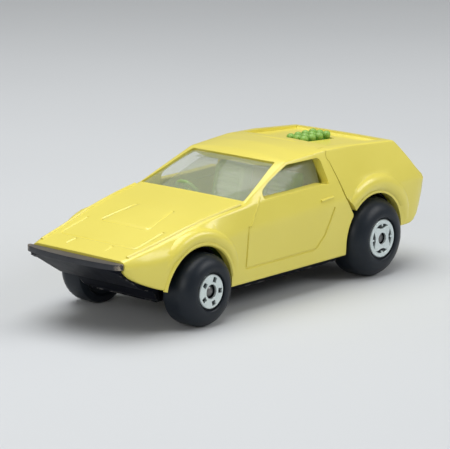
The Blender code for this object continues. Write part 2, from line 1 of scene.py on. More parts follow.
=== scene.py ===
"""Looks for the die-cast toy wedge coupe: fine bodywork, wheels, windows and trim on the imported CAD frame.

Sizes in this file are in millimetres, and the helpers turn them into metres. The nose points along -Y, the
car's left side is +X, and the tyres stand on z = 0.
"""

import json
import math

import bmesh
import bpy
import numpy as np
from mathutils import Matrix, Vector


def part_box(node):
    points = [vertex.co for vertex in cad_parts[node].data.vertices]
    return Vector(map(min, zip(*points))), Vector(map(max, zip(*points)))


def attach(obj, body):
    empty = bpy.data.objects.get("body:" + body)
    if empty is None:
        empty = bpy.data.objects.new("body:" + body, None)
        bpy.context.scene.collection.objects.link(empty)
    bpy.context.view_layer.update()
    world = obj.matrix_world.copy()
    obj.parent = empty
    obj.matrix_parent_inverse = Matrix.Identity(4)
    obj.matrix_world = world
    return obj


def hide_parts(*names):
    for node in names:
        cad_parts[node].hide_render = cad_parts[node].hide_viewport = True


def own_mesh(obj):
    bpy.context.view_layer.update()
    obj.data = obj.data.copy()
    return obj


MM = 0.001
SHIFT_Y = -0.6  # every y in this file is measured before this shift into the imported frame
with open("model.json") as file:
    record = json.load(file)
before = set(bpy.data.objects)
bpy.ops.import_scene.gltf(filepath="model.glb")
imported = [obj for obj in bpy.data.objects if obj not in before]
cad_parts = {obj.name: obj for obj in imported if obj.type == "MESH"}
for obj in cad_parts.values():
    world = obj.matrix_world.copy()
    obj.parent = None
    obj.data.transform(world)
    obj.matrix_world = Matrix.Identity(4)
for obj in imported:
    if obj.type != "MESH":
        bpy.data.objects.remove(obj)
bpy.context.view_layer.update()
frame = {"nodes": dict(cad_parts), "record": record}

# ---- places taken from the CAD nodes
front_box, rear_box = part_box("front_left_wheel"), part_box("rear_left_wheel")
FRONT_AXLE_Y = (front_box[0].y + front_box[1].y) / 2 / MM - SHIFT_Y
REAR_AXLE_Y = (rear_box[0].y + rear_box[1].y) / 2 / MM - SHIFT_Y
FRONT_TYRE_R = front_box[1].z / 2 / MM
REAR_TYRE_R = rear_box[1].z / 2 / MM
cowl_joint = next(j for j in frame["record"]["behaviour"]["joints"] if j["name"] == "cowl_hinge")
HINGE_Y = cowl_joint["pos_m"][1] / MM - SHIFT_Y
HINGE_Z = cowl_joint["pos_m"][2] / MM
HINGE = (HINGE_Y, HINGE_Z)
COWL_OPENS = cowl_joint["range_deg"][1]

# ---- proportions
NOSE_Y = -34.1
TAIL_Y = 37.8
SCREEN_BASE_Y = -8.2
SCREEN_BASE_Z = 18.1
WALL = 1.35
FRONT_ARCH = (-19.4, 5.9, 7.15)
REAR_ARCH = (24.0, 6.9, 7.5)
SEAM_LEAN = 0.325
SEAM_TOP = (13.1, 23.2)
SEAM_GAP = 0.3
ROLL_R = 1.5
ROLL_HALF = 9.5  # the middle roll is thick over this half width, and the side rolls run on from it
ROLL_END = 288.0  # degrees round the hinge where the middle roll meets the cowl's straight front edge
SIDE_ROLL_R = 1.05
SIDE_ROLL_FROM = 9.45
SIDE_ROLL_END = 240.0
EAR_X = (9.7, 10.15)
EAR_R = 0.62
EAR_LENGTH = 2.9
EAR_TO_FOOT = (-0.42, -0.91)  # direction (y, z) from the hinge line to the ear's foot on the bulkhead
PIN_HOLE_R = 0.42
ROLL_BORE_R = 0.6
RECESS_HALF = 9.3
HOLE_HALF = 2.5
HOLE_Y = (17.6, 25.6)
SCREEN_RISE, SCREEN_RUN = 4.7, 10.5
STACK_STEP = (1.5, 1.95)
STACK_FIRST_Y = HOLE_Y[0] + 1.0
BONNET_LINE = (0.38, -0.28)  # radius of the engraving tube, and how deep its middle is sunk
DOOR_LINE_R = 0.22
FRONT_FLARE = ((-19.3, 6.0), 8.4, 8, 156, 1.0)  # centre (y, z), radius, first and last degrees, sink
REAR_FLARE = ((24.0, 6.9), 9.2, 6, 150, 1.45)
FRONT_FLARE_BEAD = 1.4
REAR_FLARE_BEAD = 1.9
BOLTED_AT = (-12.2, 14.9)  # the body's two posts, along the car
TYRE_OUTER_X = 14.5
HUB_CUT = (12.0, 16.0)  # from behind the hub face to past it
FOIL_X = (13.9, 14.22, 14.34)  # a foil's back, its shoulder and its face
WHEELS = (("front", FRONT_AXLE_Y, FRONT_TYRE_R, 5.6, 2.4, 2.75),  # then width, shoulder and foil radius
          ("rear", REAR_AXLE_Y, REAR_TYRE_R, 6.4, 3.0, 3.25))
STRIP_ABOVE_AXLE = 2.5
LINE_STEP = 0.8
WELD = 2e-7  # in metres, unlike the rest

# Feature lines of the body: how far each corner is rounded off along the car, then the knots (y, value)
ROCKER_X = (1.5, ((-34.1, 9.8), (-31.9, 10.6), (-29.1, 11.3), (-26.4, 11.9), (-20.0, 12.35),
                  (-12.0, 12.5), (15.5, 12.5), (31.0, 12.4), (34.5, 12.4), (36.5, 12.4), (37.3, 12.3),
                  (37.8, 11.9)))
ROCKER_Z = (0.8, ((-34.1, 11.15), (-33.2, 10.1), (-31.1, 8.8), (-29.1, 7.9), (-27.3, 7.2), (-14.0, 4.95),
                  (18.0, 4.9), (31.0, 7.3), (34.5, 7.4), (35.4, 7.9), (36.5, 9.7), (37.3, 11.9),
                  (37.8, 14.3)))
BELT_X = (1.6, ((-34.1, 10.1), (-31.9, 10.9), (-29.1, 11.6), (-26.4, 12.2), (-23.6, 12.4), (-19.0, 12.6),
                (-15.0, 13.05), (31.0, 13.05), (34.3, 13.0), (36.2, 12.9), (37.3, 12.7), (37.8, 12.3)))
BELT_Z = (0.7, ((-34.1, 11.65), (-29.1, 11.9), (-26.4, 12.4), (-24.7, 12.9), (-24.0, 13.6), (-22.9, 14.4),
                (-21.5, 14.9), (-19.5, 15.0), (-17.4, 14.8), (-15.8, 14.0), (-14.6, 13.4), (-8.5, 13.5),
                (3.8, 14.1), (15.4, 14.55), (18.0, 15.0), (19.5, 15.6), (21.3, 16.4), (23.5, 16.85),
                (26.2, 16.6), (28.4, 15.8), (30.0, 15.1), (36.0, 15.05), (37.8, 14.8)))
SHOULDER_X = (1.5, ((-34.1, 9.9), (-32.2, 10.3), (-21.0, 11.35), (-14.5, 11.9), (-8.5, 12.3),
                    (14.0, 12.35), (31.0, 12.3), (36.2, 12.5), (37.3, 12.45), (37.8, 12.1)))
SHOULDER_Z = (1.2, ((-34.1, 12.5), (-32.2, 13.1), (-28.2, 13.9), (-24.5, 14.75), (-21.0, 15.75),
                    (-17.5, 16.4), (-14.5, 16.9), (-8.5, 17.4), (-4.0, 17.75), (12.0, 18.0), (32.4, 17.8),
                    (34.3, 17.4), (36.2, 16.0), (37.3, 15.5), (37.8, 15.15)))
EDGE_X = (0.5, ((-34.1, 9.2), (-21.0, 10.6), (-8.2, 11.6), (3.2, 10.4), (12.7, 10.85), (20.0, 11.0),
                (31.0, 10.9), (32.4, 11.25), (34.3, 11.8), (36.2, 12.25), (37.3, 12.25), (37.8, 12.0)))
EDGE_Z = (0.3, ((-34.1, 12.75), (-32.2, 13.25), (-28.2, 14.1), (-24.5, 15.0), (-21.0, 15.9),
                (-17.5, 16.6), (-14.5, 17.15), (-8.2, 18.05), (3.2, 22.7), (8.0, 23.0), (12.7, 23.3),
                (20.0, 23.1), (31.0, 22.25), (32.4, 20.9), (34.3, 18.8), (36.2, 16.6), (37.3, 15.75),
                (37.8, 15.3)))
CENTRE_Z = (0.4, ((-34.1, 12.8), (-32.2, 13.3), (-28.2, 14.25), (-24.5, 15.15), (-21.0, 16.0),
                  (-17.5, 16.75), (-14.5, 17.25), (-8.2, 18.15), (0.6, 23.1), (3.2, 23.55), (8.0, 23.95),
                  (12.7, 23.8), (20.0, 23.4), (31.0, 22.35), (32.4, 20.95), (34.3, 18.9), (36.2, 16.75),
                  (37.3, 15.9), (37.8, 15.35)))
SECTION_STEP = 0.75
CROWN_STEPS = 10
SHARP_BREAKS = (SCREEN_BASE_Y, 3.2, 31.0)  # the windscreen's foot and head, and the deck's rear edge
OPEN_TO_Z = -4.0  # a hollow that is open below runs down to here

SIDE_WINDOW = ((-4.1, 17.9), (-3.9, 19.1), (-1.9, 20.2), (1.0, 21.35), (3.3, 22.2), (10.5, 22.3),
               (11.15, 21.9), (12.15, 17.75), (10.5, 18.1), (3.0, 17.9))


# ---- small geometry helpers
def placed(name, data):
    """A new object in the scene."""
    obj = bpy.data.objects.new(name, data)
    bpy.context.scene.collection.objects.link(obj)
    return obj


def from_bmesh(name, work):
    mesh = bpy.data.meshes.new(name)
    work.to_mesh(mesh)
    work.free()
    return placed(name, mesh)


def baked(obj):
    """The object's evaluated mesh as a new object, with the old one removed."""
    name = obj.name
    bpy.context.view_layer.update()
    graph = bpy.context.evaluated_depsgraph_get()
    mesh = bpy.data.meshes.new_from_object(obj.evaluated_get(graph))
    where = obj.matrix_world.copy()
    bpy.data.objects.remove(obj, do_unlink=True)
    work = bmesh.new()
    work.from_mesh(mesh)
    bmesh.ops.remove_doubles(work, verts=work.verts, dist=WELD)
    work.to_mesh(mesh)
    work.free()
    mesh.name = name
    made = placed(name, mesh)
    made.matrix_world = where
    return made


def combine(target, tools, operation):
    """One Boolean of the target with each tool in turn, applied."""
    for tool in tools:
        step = target.modifiers.new(tool.name, "BOOLEAN")
        step.operation = operation
        step.solver = "EXACT"
        step.object = tool
    made = baked(target)
    for tool in tools:
        bpy.data.objects.remove(tool, do_unlink=True)
    return made


def cut(target, *tools):
    return combine(target, tools, "DIFFERENCE")


def join(target, *tools):
    return combine(target, tools, "UNION")


def keep(target, tool):
    return combine(target, [tool], "INTERSECT")


def block(name, low, high, bevel=0.0, segments=2):
    work = bmesh.new()
    bmesh.ops.create_cube(work, size=1.0)
    bmesh.ops.scale(work, vec=[(b - a) * MM for a, b in zip(low, high)], verts=work.verts)
    bmesh.ops.translate(work, vec=[(a + b) / 2 * MM for a, b in zip(low, high)], verts=work.verts)
    if bevel:
        bmesh.ops.bevel(work, geom=work.edges[:], offset=bevel * MM, segments=segments, profile=0.5,
                        affect="EDGES", clamp_overlap=True)
    return from_bmesh(name, work)


def rod(name, centre, radius, low, high, axis, sides, top_radius=None, bevel=0.0):
    """A cylinder or cone along an axis. centre holds the two other coordinates."""
    work = bmesh.new()
    bmesh.ops.create_cone(work, cap_ends=True, segments=sides, radius1=radius * MM,
                          radius2=(radius if top_radius is None else top_radius) * MM,
                          depth=(high - low) * MM)
    if bevel:
        rims = [e for e in work.edges if any(len(f.verts) > 4 for f in e.link_faces)]
        bmesh.ops.bevel(work, geom=rims, offset=bevel * MM, segments=3, profile=0.5, affect="EDGES")
    middle = (low + high) / 2
    if axis == "X":
        turn, shift = Matrix.Rotation(math.radians(90), 4, "Y"), (middle, centre[0], centre[1])
    elif axis == "Y":
        turn, shift = Matrix.Rotation(math.radians(-90), 4, "X"), (centre[0], middle, centre[1])
    else:
        turn, shift = Matrix.Identity(4), (centre[0], centre[1], middle)
    bmesh.ops.transform(work, matrix=turn, verts=work.verts)
    bmesh.ops.translate(work, vec=[v * MM for v in shift], verts=work.verts)
    return from_bmesh(name, work)


def rounded(points, radius, steps=4, closed=True):
    """A polyline with every corner rounded off. radius is one number or one for each point."""
    count = len(points)
    radii = radius if hasattr(radius, "__len__") else [radius] * count
    made = []
    for i, here in enumerate(points):
        if radii[i] <= 0 or (not closed and i in (0, count - 1)):
            made.append(tuple(here))
            continue
        here = np.array(here, float)
        before = np.array(points[i - 1], float) - here
        after = np.array(points[(i + 1) % count], float) - here
        a, b = np.linalg.norm(before), np.linalg.norm(after)
        reach = min(radii[i], 0.45 * a, 0.45 * b)
        start, end = here + before / a * reach, here + after / b * reach
        for t in np.linspace(0, 1, steps + 1):
            made.append(tuple((1 - t) ** 2 * start + 2 * t * (1 - t) * here + t * t * end))
    return made


def wall_up(work, rings):
    """Faces between each ring of vertices and the next."""
    for near, far in zip(rings, rings[1:]):
        for i in range(len(near)):
            j = (i + 1) % len(near)
            work.faces.new((near[i], near[j], far[j], far[i]))


def prism(name, outline, low, high, axis="X"):
    """A flat outline given thickness. Along X the outline is (y, z), along Z it is (x, y)."""
    work = bmesh.new()
    place = {"X": lambda u, v, w: (w, u, v), "Z": lambda u, v, w: (u, v, w)}[axis]
    near = [work.verts.new([c * MM for c in place(u, v, low)]) for u, v in outline]
    far = [work.verts.new([c * MM for c in place(u, v, high)]) for u, v in outline]
    work.faces.new(near)
    work.faces.new(far)
    wall_up(work, [near, far])
    bmesh.ops.recalc_face_normals(work, faces=work.faces)
    bmesh.ops.triangulate(work, faces=[f for f in work.faces if len(f.verts) > 4])
    return from_bmesh(name, work)


def tube(name, points, radius, sides=8):
    """A round tube along points (x, y, z), to engrave a line or to stand as a bead."""
    curve = bpy.data.curves.new(name, "CURVE")
    curve.dimensions = "3D"
    curve.bevel_depth = radius * MM
    curve.bevel_resolution = max(0, sides // 4 - 1)
    curve.use_fill_caps = True
    line = curve.splines.new("POLY")
    line.points.add(len(points) - 1)
    for point, where in zip(line.points, points):
        point.co = (where[0] * MM, where[1] * MM, where[2] * MM, 1.0)
    return baked(placed(name, curve))


def rectangle(x0, y0, x1, y1):
    return [(x0, y0), (x1, y0), (x1, y1), (x0, y1)]


def arc(centre, radius, start, end, steps):
    turns = np.radians(np.linspace(start, end, steps))
    return [(centre[0] + radius * math.cos(a), centre[1] + radius * math.sin(a)) for a in turns]


def spun(name, profile, axis, sides, shift, closed):
    """Points (x, y, z) turned about an axis and moved by shift. An open profile ends on the axis."""
    work = bmesh.new()
    ring = [work.verts.new([c * MM for c in point]) for point in profile]
    for a, b in zip(ring, ring[1:] + (ring[:1] if closed else [])):
        work.edges.new((a, b))
    bmesh.ops.spin(work, geom=work.verts[:] + work.edges[:], cent=(0, 0, 0), axis=axis,
                   angle=2 * math.pi, steps=sides, use_duplicate=False)
    bmesh.ops.remove_doubles(work, verts=work.verts, dist=WELD)
    bmesh.ops.recalc_face_normals(work, faces=work.faces)
    bmesh.ops.translate(work, vec=[c * MM for c in shift], verts=work.verts)
    return from_bmesh(name, work)


def turned(name, profile, centre, sides, side=1, closed=True):
    """A wheel's part turned about its axle, from (x, radius) points. centre is (y, z)."""
    points = [(side * x, 0.0, radius) for x, radius in profile]
    return spun(name, points, (1, 0, 0), sides, (0.0, *centre), closed)


def span(side, a, b):
    """The range of x from a to b on one side of the car, with its low end first."""
    return sorted((side * a, side * b))


def edged(obj, width, segments):
    """The object with its sharp edges rounded off."""
    step = obj.modifiers.new("edge", "BEVEL")
    step.width = width * MM
    step.segments = segments
    step.limit_method = "ANGLE"
    step.angle_limit = math.radians(50)
    return baked(obj)


def smooth(obj, angle=32):
    obj.data.shade_smooth()
    obj.data.set_sharp_from_angle(angle=math.radians(angle))
    return obj


# ---- the body's form
def at(line, y):
    """The value of a feature line at y, with its corners rounded off along the car."""
    rounding, knots = line
    places, values = zip(*knots)
    reach = max(0.0, min(rounding, y - places[0], places[-1] - y))
    if reach < 0.01:
        return float(np.interp(y, places, values))
    return float(np.interp(np.linspace(y - reach, y + reach, 9), places, values).mean())


def half_section(y, inset, top_inset, open_below):
    """Points (x, z) round the left half of the body at y, from the bottom middle to the top middle."""
    low = OPEN_TO_Z if open_below else at(ROCKER_Z, y)
    edge = (at(EDGE_X, y) - inset, at(EDGE_Z, y) - top_inset)
    crown = at(CENTRE_Z, y) - top_inset - edge[1]
    corners = [(0.0, low), (at(ROCKER_X, y) - inset, low), (at(BELT_X, y) - inset, at(BELT_Z, y)),
               (at(SHOULDER_X, y) - inset, at(SHOULDER_Z, y) - 0.6 * top_inset), edge,
               (edge[0] * 0.9, edge[1] + crown * 0.19)]
    points = rounded(corners, [0, 0.35, 0.9, 0.4, 0.3, 0], 4, closed=False)[:-1]
    for step in range(CROWN_STEPS - 1, -1, -1):
        share = step / CROWN_STEPS
        points.append((edge[0] * share, edge[1] + crown * (1 - share * share)))
    return points


def body_form(name, first, last, inset=0.0, top_inset=0.0, open_below=False, step=SECTION_STEP):
    """The body's outer form, or one set in from it, lofted through sections from first to last."""
    knots = {y for _, line in (EDGE_Z, BELT_Z) for y, _ in line}
    fine = {y + d for y in SHARP_BREAKS for d in (-0.3, -0.15, 0.0, 0.15, 0.3)}
    places = sorted(set(np.arange(first, last, step)) | knots | fine)
    places = [first] + [y for y in places if first + 0.12 < y < last - 0.12] + [last]
    kept = [places[0]]
    for y in places[1:]:
        if y - kept[-1] > 0.1 or y == last:
            kept.append(y)
    work = bmesh.new()
    rings = []
    for y in kept:
        left = half_section(y, inset, top_inset, open_below)
        right = [(-x, z) for x, z in reversed(left[1:-1])]
        rings.append([work.verts.new((x * MM, y * MM, z * MM)) for x, z in left + right])
    wall_up(work, rings)
    for ring in (rings[0], rings[-1]):
        work.faces.new(ring)
    bmesh.ops.recalc_face_normals(work, faces=work.faces)
    bmesh.ops.triangulate(work, faces=work.faces)
    return from_bmesh(name, work)


def flank_x(y, z):
    """How far out the body's side stands at (y, z)."""
    corners = [(at(ROCKER_X, y), at(ROCKER_Z, y)), (at(BELT_X, y), at(BELT_Z, y)),
               (at(SHOULDER_X, y), at(SHOULDER_Z, y)), (at(EDGE_X, y), at(EDGE_Z, y))]
    return float(np.interp(z, [c[1] for c in corners], [c[0] for c in corners]))


def top_z(x, y):
    """The height of the bonnet, roof or deck at (x, y)."""
    edge = at(EDGE_X, y)
    share = min(1.0, abs(x) / edge)
    return at(EDGE_Z, y) + (at(CENTRE_Z, y) - at(EDGE_Z, y)) * (1 - share * share)


def stepped(corners, radius):
    """A flat line through the corners, rounded at each, as points about a step apart."""
    path = rounded(corners, radius, 4, closed=False)
    made = []
    for (a0, b0), (a1, b1) in zip(path, path[1:]):
        steps = max(1, int(math.hypot(a1 - a0, b1 - b0) / LINE_STEP))
        made += [(a0 + (a1 - a0) * t, b0 + (b1 - b0) * t) for t in np.arange(steps) / steps]
    return made + [path[-1]]


def on_flank(corners, side, sink, radius=0.5):
    """A line over the flank through the corners (y, z), as (x, y, z) points."""
    return [(side * (flank_x(y, z) - sink), y, z) for y, z in stepped(corners, radius)]


def on_top(corners, sink, radius=0.5):
    """A line over the bonnet through the corners (x, y), as (x, y, z) points."""
    return [(x, y, top_z(x, y) - sink) for x, y in stepped(corners, radius)]


def seam_y(z):
    return SEAM_TOP[0] + (SEAM_TOP[1] - z) * SEAM_LEAN


def round_hinge(along, across, turn=0.0):
    """A point (y, z) off the hinge line, by distances along the ear and across it towards the tail."""
    c, s = math.cos(math.radians(turn)), math.sin(math.radians(turn))
    y = along * EAR_TO_FOOT[0] - across * EAR_TO_FOOT[1]
    z = along * EAR_TO_FOOT[1] + across * EAR_TO_FOOT[0]
    return HINGE_Y + y * c - z * s, HINGE_Z + y * s + z * c


def flare_line(side, centre, radius, start, end, sink):
    """The middle of a wheel flare's bead, sinking into the flank towards both ends."""
    points = arc(centre, radius, start, end, 48)
    made = []
    for number, (y, z) in enumerate(points):
        fade = max(0.0, abs(2 * number / (len(points) - 1) - 1) - 0.6) / 0.4
        made.append((side * (flank_x(y, z) - sink - 0.5 * fade), y, z))
    return made


def arch_cutter(name, arch):
    y, z, radius = arch
    outline = arc((y, z), radius, 0, 180, 49) + [(y - radius, -6.0), (y + radius, -6.0)]
    return prism(name, outline, -20.0, 20.0)


def windscreen_cutter(grow=0.0, name="windscreen_opening"):
    """The windscreen's opening, square to the sloping glass."""
    slope = math.atan2(SCREEN_RISE, SCREEN_RUN)
    top = [(x, 10.1 + 1.3 * (x / 9.0) ** 2 + grow) for x in np.linspace(9.0 + grow, -9.0 - grow, 13)]
    outline = rounded([(-11.3 - grow, 0.15 - grow), (11.3 + grow, 0.15 - grow)] + top,
                      [0.35, 0.35, 0.4] + [0] * 11 + [0.4], 4)
    cutter = prism(name, outline, -3.6, 4.0, "Z")
    cutter.data.transform(Matrix.Translation((0, SCREEN_BASE_Y * MM, SCREEN_BASE_Z * MM))
                          @ Matrix.Rotation(slope, 4, "X"))
    return cutter


def side_window_cutter():
    outline = rounded(list(SIDE_WINDOW), [0.5, 0.6, 0, 0, 0.3, 0.5, 0.5, 0.5, 0, 0], 4)
    return prism("side_windows", outline, -20, 20)


# ---- bodywork
def make_body_shell():
    body = body_form("body_casting", NOSE_Y, 20.0)
    grooves = []
    door = [(-8.4, 14.3), (-8.75, 13.4), (-9.0, 7.45), (8.4, 7.5), (10.6, 9.5), (11.9, 11.9),
            (12.9, 13.9)]
    for side in (1, -1):
        grooves.append(tube("door_line", on_flank(door, side, 0.0, 0.45), DOOR_LINE_R))
    line_r, line_sink = BONNET_LINE
    for name, half in (("bonnet_line_1", [(8.3, -23.6), (8.3, -30.0)]),
                       ("bonnet_line_2", [(4.0, -16.6), (5.4, -23.9)])):
        grooves.append(tube(name, on_top(mirrored(half), line_sink, 0.9), line_r, 12))
    for side in (1, -1):
        lamp = [(side * 4.3, -32.4), (side * 4.0, -30.5)]
        grooves.append(tube("lamp_line", on_top(lamp, line_sink), line_r, 12))
    body = cut(body, *grooves)
    for side in (1, -1):
        flare = flare_line(side, *FRONT_FLARE)
        crease = [(side * at(EDGE_X, y), y, at(EDGE_Z, y) - 0.1) for y in np.arange(-32.8, -9.0, 0.4)]
        body = join(body, tube("front_flare", flare, FRONT_FLARE_BEAD, 28),
                    tube("bonnet_crease", crease, 0.34, 12))
    body = cut(body, body_form("body_hollow", NOSE_Y + 1.2, 21.0, WALL, WALL, True, 2.0))
    wall = prism("bulkhead", [(11.5, 22.9), (12.6, 22.9), (15.2, 15.0), (15.6, 7.0), (14.5, 7.0),
                              (14.1, 15.0)], -11.6, 11.6)
    body = join(body, keep(wall, body_form("bulkhead_trim", 9.0, 19.0, 0.5, 0.5, False, 2.0)))
    roll_end_y, roll_end_z = arc(HINGE, SIDE_ROLL_R, SIDE_ROLL_END, SIDE_ROLL_END, 1)[0]
    behind = [(seam_y(30), 30), (seam_y(HINGE_Z), HINGE_Z), (roll_end_y - 0.12, roll_end_z),
              (seam_y(15), 15.0), (18.0, 11.8), (18.0, -6.0), (60, -6), (60, 30)]
    body = cut(body, prism("behind_seam", behind, -20, 20), arch_cutter("front_arch", FRONT_ARCH),
               arch_cutter("rear_arch_front", REAR_ARCH),
               block("nose_notch", (-9.15, -35.3, 0.0), (9.15, -32.6, 11.7)), windscreen_cutter(),
               side_window_cutter(),
               rod("roof_relief", HINGE, ROLL_R + 0.1, -9.55, 9.55, "X", 64),
               rod("left_relief", HINGE, SIDE_ROLL_R + 0.07, SIDE_ROLL_FROM, 20.0, "X", 48),
               rod("right_relief", HINGE, SIDE_ROLL_R + 0.07, -20.0, -SIDE_ROLL_FROM, "X", 48))
    for side in (1, -1):
        grip = tube("door_handle", on_flank([(9.5, 15.45), (12.6, 15.65)], side, -0.05), 0.22, 12)
        lip = tube("arch_bead", [(side * (flank_x(y, z) - 0.14), y, z) for y, z in
                                 arc(FRONT_ARCH[:2], FRONT_ARCH[2] + 0.26, 8, 172, 40)], 0.4, 12)
        ridge = tube("scuttle_ridge", on_flank([(-4.75, 18.4), (-6.1, 16.9), (-7.0, 15.6), (-8.0, 14.2)],
                                               side, 0.02), 0.16, 12)
        ear = prism("ear", arc(HINGE, EAR_R, -25, 155, 24)
                    + [round_hinge(EAR_LENGTH, -EAR_R), round_hinge(EAR_LENGTH, EAR_R)], *span(side, *EAR_X))
        body = join(body, grip, lip, ridge, ear)
    body = cut(body, rod("pin_hole", HINGE, PIN_HOLE_R, -10.2, 10.2, "X", 32))
    posts = []
    for y, post, head in zip(BOLTED_AT, (1.4, 1.2), (2.1, 1.9)):
        posts.append(rod("post", (0.0, y), post, 4.2, 17.0 if y < 0 else 8.0, "Z", 40))
        posts.append(rod("rivet_head", (0.0, y), head, 4.05, 4.6, "Z", 48, bevel=0.12))
    body = join(body, *posts)
    body = cut(body, *[rod("rivet_dimple", (0.0, y), 0.5, 3.0, 4.35, "Z", 24, top_radius=0.3)
                       for y in BOLTED_AT])
    return smooth(body)


def cowl_front(name, radius, end, low, high):
    """Everything ahead of the cowl's front edge, which is rolled round the hinge line at its top."""
    outline = [(HINGE_Y, 40.0)] + arc(HINGE, radius, 90.0, end, 36)
    outline += [(seam_y(15.0) + SEAM_GAP, 15.0), (19.1, 12.0), (19.1, -9.0), (-20.0, -9.0), (-20.0, 40.0)]
    return prism(name, outline, low, high)


def make_rear_cowl():
    cowl = body_form("cowl_casting", 11.0, TAIL_Y)
    for side in (1, -1):
        flare = flare_line(side, *REAR_FLARE)
        cowl = join(cowl, tube("rear_flare", flare, REAR_FLARE_BEAD, 28))
    cowl = cut(cowl, body_form("cowl_hollow", 9.0, TAIL_Y - 2.2, WALL, 1.75, True, 2.0))
    side_outline = rounded([(14.9, 30), (15.4, 22.95), (29.5, 22.0), (29.9, 30)], [0, 0.5, 0.5, 0], 5)
    tray = prism("deck_recess", side_outline, -RECESS_HALF, RECESS_HALF)
    hole_outline = rectangle(-HOLE_HALF, HOLE_Y[0], HOLE_HALF, HOLE_Y[1])
    hole = prism("engine_hole", rounded(hole_outline, 0.3), 18.0, 30.0, "Z")
    # The tail's lower face carries a shallow panel with a cast lamp at each end
    tail_panel = prism("tail_panel", [(37.33, 13.4), (36.3, 10.2), (38.8, 9.4), (39.2, 13.9)], -9.6, 9.6)
    cowl = cut(cowl, tray, hole, tail_panel)
    lamp = rounded([(37.2, 12.9), (36.5, 10.8), (36.8, 10.7), (37.45, 12.8)], 0.1, 2)
    for side in (1, -1):
        cowl = join(cowl, prism("tail_lamp", lamp, *span(side, 5.4, 8.9)))
    cowl = join(cowl, rod("hinge_roll", HINGE, 1.0, -9.3, 9.3, "X", 48))
    cutters = [cowl_front("ahead_middle", ROLL_R, ROLL_END, -ROLL_HALF, ROLL_HALF)]
    for side in (1, -1):
        cutters.append(cowl_front("ahead_side", SIDE_ROLL_R, SIDE_ROLL_END,
                                  *span(side, SIDE_ROLL_FROM, 20.0)))
        # Room for the body's ear as the cowl turns
        low, high = span(side, 9.55, 10.3)
        sweep = [round_hinge(0, 0.75), round_hinge(3.2, 0.75), round_hinge(3.6, 0.0, -COWL_OPENS / 2),
                 round_hinge(3.2, -0.75, -COWL_OPENS), round_hinge(0, -0.75, -COWL_OPENS)]
        cutters.append(prism("ear_sweep", sweep, low, high))
        cutters.append(rod("ear_relief", HINGE, EAR_R + 0.14, low, high, "X", 40))
    cutters.append(arch_cutter("rear_arch", REAR_ARCH))
    cutters.append(rod("roll_bore", HINGE, ROLL_BORE_R, -10.3, 10.3, "X", 32))
    return smooth(cut(cowl, *cutters))


def mirrored(half):
    return half + [(-x, y) for x, y in reversed(half) if x > 0.01]


def wheel_well(y, z, radius, side, wall):
    """The liner over a wheel: a part ring under the arch, and an inner wall with a slot for the axle."""
    reach, thick = (22, 158), 0.35
    outline = arc((y, z), radius, *reach, 41) + arc((y, z), radius - thick, *reach[::-1], 41)
    ring = prism("well_ring", outline, *span(side, wall, 10.6))
    low, high = span(side, wall, wall - thick)
    foot = [(y - 4.4, 4.6), (y + 4.4, 4.6)]
    plate = prism("well_wall", arc((y, z), radius - 0.02, *reach, 41) + foot, low, high)
    slot = block("well_slot", (low - 1, y - 1.0, z - 1.1), (high + 1, y + 1.2, z + 1.7))
    return join(cut(plate, slot), ring)


